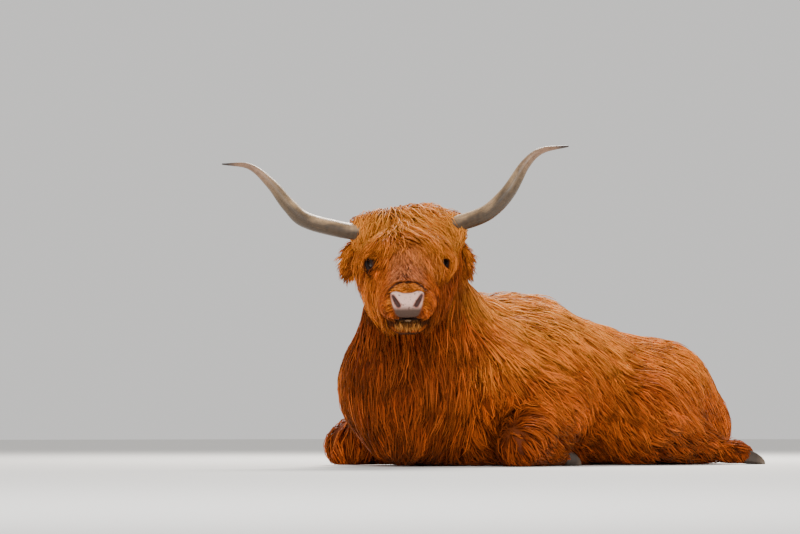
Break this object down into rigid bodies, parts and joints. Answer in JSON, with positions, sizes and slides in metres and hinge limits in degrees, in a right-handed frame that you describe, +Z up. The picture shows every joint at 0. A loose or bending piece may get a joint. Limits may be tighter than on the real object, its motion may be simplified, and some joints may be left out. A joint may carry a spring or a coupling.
{
  "type": "highland cow",
  "caption": "Life-size highland cow lying on its chest with its head turned to the left, long coat in locks, wide upswept horns.",
  "frame": {"origin": "on the floor under the middle of the cow's bounding box", "axes": "+Z up, -Y the way the body heads, +X the cow's left; the head is turned 48 degrees to its left"},
  "size_m": [1.1438, 2.331, 1.1107],
  "materials": {
    "coat": "long wavy red-orange hair in locks",
    "muzzle": "moist pinkish nose leather with dark speckles",
    "tongue": "moist pale pink",
    "eye": "glossy dark brown",
    "horn": "ivory and grey-brown horn, dark at the tips",
    "hoof": "worn dark horn"
  },
  "bodies": {
    "root": {"head": "coat", "jaw": "coat", "nose_pad": "muzzle", "tongue": "tongue", "eye_L": "eye", "eye_R": "eye", "ear_L": "coat", "ear_R": "coat", "horn_L": "horn", "horn_R": "horn", "neck": "coat", "chest": "coat", "barrel": "coat", "rump": "coat", "tail": "coat", "tail_switch": "coat", "foreleg_L": "coat", "foreleg_R": "coat", "thigh_L": "coat", "thigh_R": "coat", "fore_shank_L": "coat", "fore_shank_R": "coat", "hind_shank_L": "coat", "hind_shank_R": "coat", "fore_claw_L_a": "hoof", "fore_claw_L_b": "hoof", "fore_claw_R_a": "hoof", "fore_claw_R_b": "hoof", "hind_claw_L_a": "hoof", "hind_claw_L_b": "hoof", "hind_claw_R_a": "hoof", "hind_claw_R_b": "hoof"}
  },
  "joints": []
}
